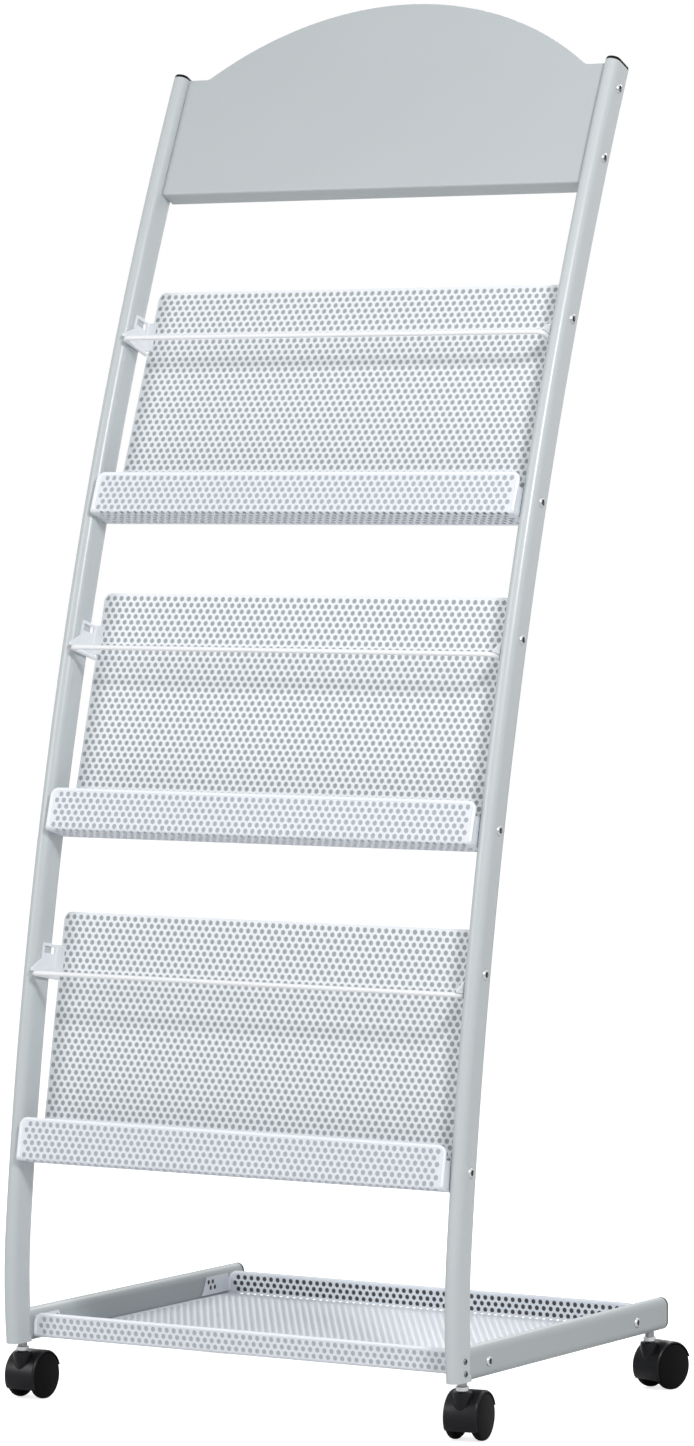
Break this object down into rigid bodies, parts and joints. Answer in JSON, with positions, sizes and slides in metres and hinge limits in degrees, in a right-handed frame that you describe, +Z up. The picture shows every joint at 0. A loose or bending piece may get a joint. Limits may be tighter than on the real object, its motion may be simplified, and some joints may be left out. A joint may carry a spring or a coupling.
{
  "type": "periodical display rack",
  "caption": "Mobile magazine rack: bowed tube side frames on twin-wheel casters, leaning perforated shelves with retaining wires, a low tray and an arched header board.",
  "frame": {"origin": "on the floor under the middle of the rack's bounding box", "axes": "+X to the right of someone facing the rack, +Y from front to back, +Z up"},
  "size_m": [0.5328, 0.4263, 1.3273],
  "materials": {
    "frame_paint": "light grey powder coat, satin",
    "sheet_paint": "pale grey powder coat on perforated sheet",
    "header_paint": "light grey powder coat, satin",
    "wire_paint": "pale grey coated rod",
    "ear_paint": "light grey powder coat",
    "black_plastic": "black moulded plastic",
    "hood_plastic": "black moulded nylon, satin",
    "wheel_plastic": "black nylon",
    "bright_stem": "bright plated steel",
    "axle_steel": "plain steel pin"
  },
  "bodies": {
    "frame": {"post_right": "frame_paint", "base_rail_right": "frame_paint", "post_cap_right": "black_plastic", "rail_end_plug_right": "black_plastic", "foot_socket_right": "black_plastic", "post_left": "frame_paint", "base_rail_left": "frame_paint", "post_cap_left": "black_plastic", "rail_end_plug_left": "black_plastic", "foot_socket_left": "black_plastic", "header_board": "header_paint", "magazine_shelf_top": "sheet_paint", "retaining_wire_top": "wire_paint", "shelf_ear_top_right": "ear_paint", "shelf_ear_top_left": "ear_paint", "magazine_shelf_middle": "sheet_paint", "retaining_wire_middle": "wire_paint", "shelf_ear_middle_right": "ear_paint", "shelf_ear_middle_left": "ear_paint", "magazine_shelf_bottom": "sheet_paint", "retaining_wire_bottom": "wire_paint", "shelf_ear_bottom_right": "ear_paint", "shelf_ear_bottom_left": "ear_paint", "bottom_tray": "sheet_paint", "front_right_caster_stem": "bright_stem", "front_left_caster_stem": "bright_stem", "rear_right_caster_stem": "bright_stem", "rear_left_caster_stem": "bright_stem"},
    "front_right_swivel": {"front_right_caster_hood": "hood_plastic", "front_right_caster_axle": "axle_steel"},
    "front_right_wheel_right": {"front_right_caster_wheel_right": "wheel_plastic"},
    "front_right_wheel_left": {"front_right_caster_wheel_left": "wheel_plastic"},
    "front_left_swivel": {"front_left_caster_hood": "hood_plastic", "front_left_caster_axle": "axle_steel"},
    "front_left_wheel_right": {"front_left_caster_wheel_right": "wheel_plastic"},
    "front_left_wheel_left": {"front_left_caster_wheel_left": "wheel_plastic"},
    "rear_right_swivel": {"rear_right_caster_hood": "hood_plastic", "rear_right_caster_axle": "axle_steel"},
    "rear_right_wheel_right": {"rear_right_caster_wheel_right": "wheel_plastic"},
    "rear_right_wheel_left": {"rear_right_caster_wheel_left": "wheel_plastic"},
    "rear_left_swivel": {"rear_left_caster_hood": "hood_plastic", "rear_left_caster_axle": "axle_steel"},
    "rear_left_wheel_right": {"rear_left_caster_wheel_right": "wheel_plastic"},
    "rear_left_wheel_left": {"rear_left_caster_wheel_left": "wheel_plastic"}
  },
  "joints": [
    {"name": "front_right_swivel_turn", "type": "hinge", "parent": "frame", "child": "front_right_swivel", "pos_m": [0.24, -0.18872, 0.0468], "axis": [0, 0, 1], "continuous": true},
    {"name": "front_right_wheel_right_roll", "type": "hinge", "parent": "front_right_swivel", "child": "front_right_wheel_right", "pos_m": [0.23793, -0.17185, 0.022], "axis": [0.9925, 0.1219, 0], "continuous": true},
    {"name": "front_right_wheel_left_roll", "type": "hinge", "parent": "front_right_swivel", "child": "front_right_wheel_left", "pos_m": [0.23793, -0.17185, 0.022], "axis": [0.9925, 0.1219, 0], "continuous": true},
    {"name": "front_left_swivel_turn", "type": "hinge", "parent": "frame", "child": "front_left_swivel", "pos_m": [-0.24, -0.18872, 0.0468], "axis": [0, 0, 1], "continuous": true},
    {"name": "front_left_wheel_right_roll", "type": "hinge", "parent": "front_left_swivel", "child": "front_left_wheel_right", "pos_m": [-0.24, -0.17172, 0.022], "axis": [1, 0, 0], "continuous": true},
    {"name": "front_left_wheel_left_roll", "type": "hinge", "parent": "front_left_swivel", "child": "front_left_wheel_left", "pos_m": [-0.24, -0.17172, 0.022], "axis": [1, 0, 0], "continuous": true},
    {"name": "rear_right_swivel_turn", "type": "hinge", "parent": "frame", "child": "rear_right_swivel", "pos_m": [0.24, 0.17048, 0.0468], "axis": [0, 0, 1], "continuous": true},
    {"name": "rear_right_wheel_right_roll", "type": "hinge", "parent": "rear_right_swivel", "child": "rear_right_wheel_right", "pos_m": [0.2444, 0.1869, 0.022], "axis": [0.9659, -0.2588, 0], "continuous": true},
    {"name": "rear_right_wheel_left_roll", "type": "hinge", "parent": "rear_right_swivel", "child": "rear_right_wheel_left", "pos_m": [0.2444, 0.1869, 0.022], "axis": [0.9659, -0.2588, 0], "continuous": true},
    {"name": "rear_left_swivel_turn", "type": "hinge", "parent": "frame", "child": "rear_left_swivel", "pos_m": [-0.24, 0.17048, 0.0468], "axis": [0, 0, 1], "continuous": true},
    {"name": "rear_left_wheel_right_roll", "type": "hinge", "parent": "rear_left_swivel", "child": "rear_left_wheel_right", "pos_m": [-0.2444, 0.1869, 0.022], "axis": [0.9659, 0.2588, 0], "continuous": true},
    {"name": "rear_left_wheel_left_roll", "type": "hinge", "parent": "rear_left_swivel", "child": "rear_left_wheel_left", "pos_m": [-0.2444, 0.1869, 0.022], "axis": [0.9659, 0.2588, 0], "continuous": true}
  ]
}
